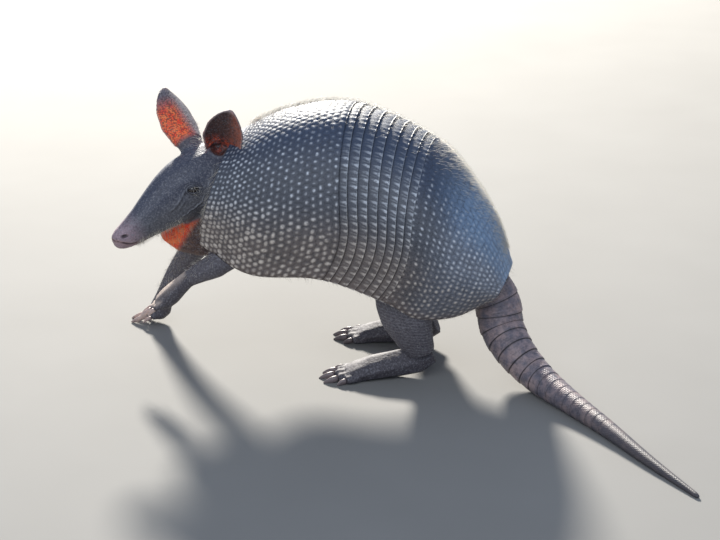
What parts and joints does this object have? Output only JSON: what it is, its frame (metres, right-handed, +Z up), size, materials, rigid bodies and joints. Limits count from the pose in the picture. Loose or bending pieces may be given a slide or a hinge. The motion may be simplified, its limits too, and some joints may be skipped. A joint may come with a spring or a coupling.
{
  "type": "armadillo",
  "caption": "Life-size still model of a nine-banded armadillo walking with its head lowered and turned left, one forepaw lifted, tail trailing on the floor.",
  "frame": {"origin": "middle of the whole animal's box in plan, on the floor", "axes": "-X towards the nose end of the body, -Y the animal's left side, +Z up"},
  "size_m": [0.4937, 0.2546, 0.2214],
  "materials": {
    "shell_armour": "dark slate-grey horny scutes with small pale dots",
    "skin": "grey-brown scaly skin",
    "tail_armour": "pinkish grey-brown scaled rings",
    "ear_skin": "pebbled grey-mauve skin",
    "claw_horn": "pale pinkish horn",
    "eye": "glossy dark brown"
  },
  "bodies": {
    "root": {"scapular_shield": "shell_armour", "band_1": "shell_armour", "band_2": "shell_armour", "band_3": "shell_armour", "band_4": "shell_armour", "band_5": "shell_armour", "band_6": "shell_armour", "band_7": "shell_armour", "band_8": "shell_armour", "pelvic_shield": "shell_armour", "trunk": "skin", "head": "skin", "neck": "skin", "eye_left": "eye", "ear_left": "ear_skin", "eye_right": "eye", "ear_right": "ear_skin", "left_fore_upper": "skin", "left_fore_lower": "skin", "left_fore_claw_1": "claw_horn", "left_fore_claw_2": "claw_horn", "left_fore_claw_3": "claw_horn", "left_fore_claw_4": "claw_horn", "left_fore_foot": "skin", "right_fore_upper": "skin", "right_fore_lower": "skin", "right_fore_claw_1": "claw_horn", "right_fore_claw_2": "claw_horn", "right_fore_claw_3": "claw_horn", "right_fore_claw_4": "claw_horn", "right_fore_foot": "skin", "left_hind_upper": "skin", "left_hind_lower": "skin", "left_hind_claw_1": "claw_horn", "left_hind_claw_2": "claw_horn", "left_hind_claw_3": "claw_horn", "left_hind_claw_4": "claw_horn", "left_hind_claw_5": "claw_horn", "left_hind_foot": "skin", "right_hind_upper": "skin", "right_hind_lower": "skin", "right_hind_claw_1": "claw_horn", "right_hind_claw_2": "claw_horn", "right_hind_claw_3": "claw_horn", "right_hind_claw_4": "claw_horn", "right_hind_claw_5": "claw_horn", "right_hind_foot": "skin", "tail_1": "tail_armour", "tail_2": "tail_armour", "tail_3": "tail_armour", "tail_4": "tail_armour"}
  },
  "joints": []
}
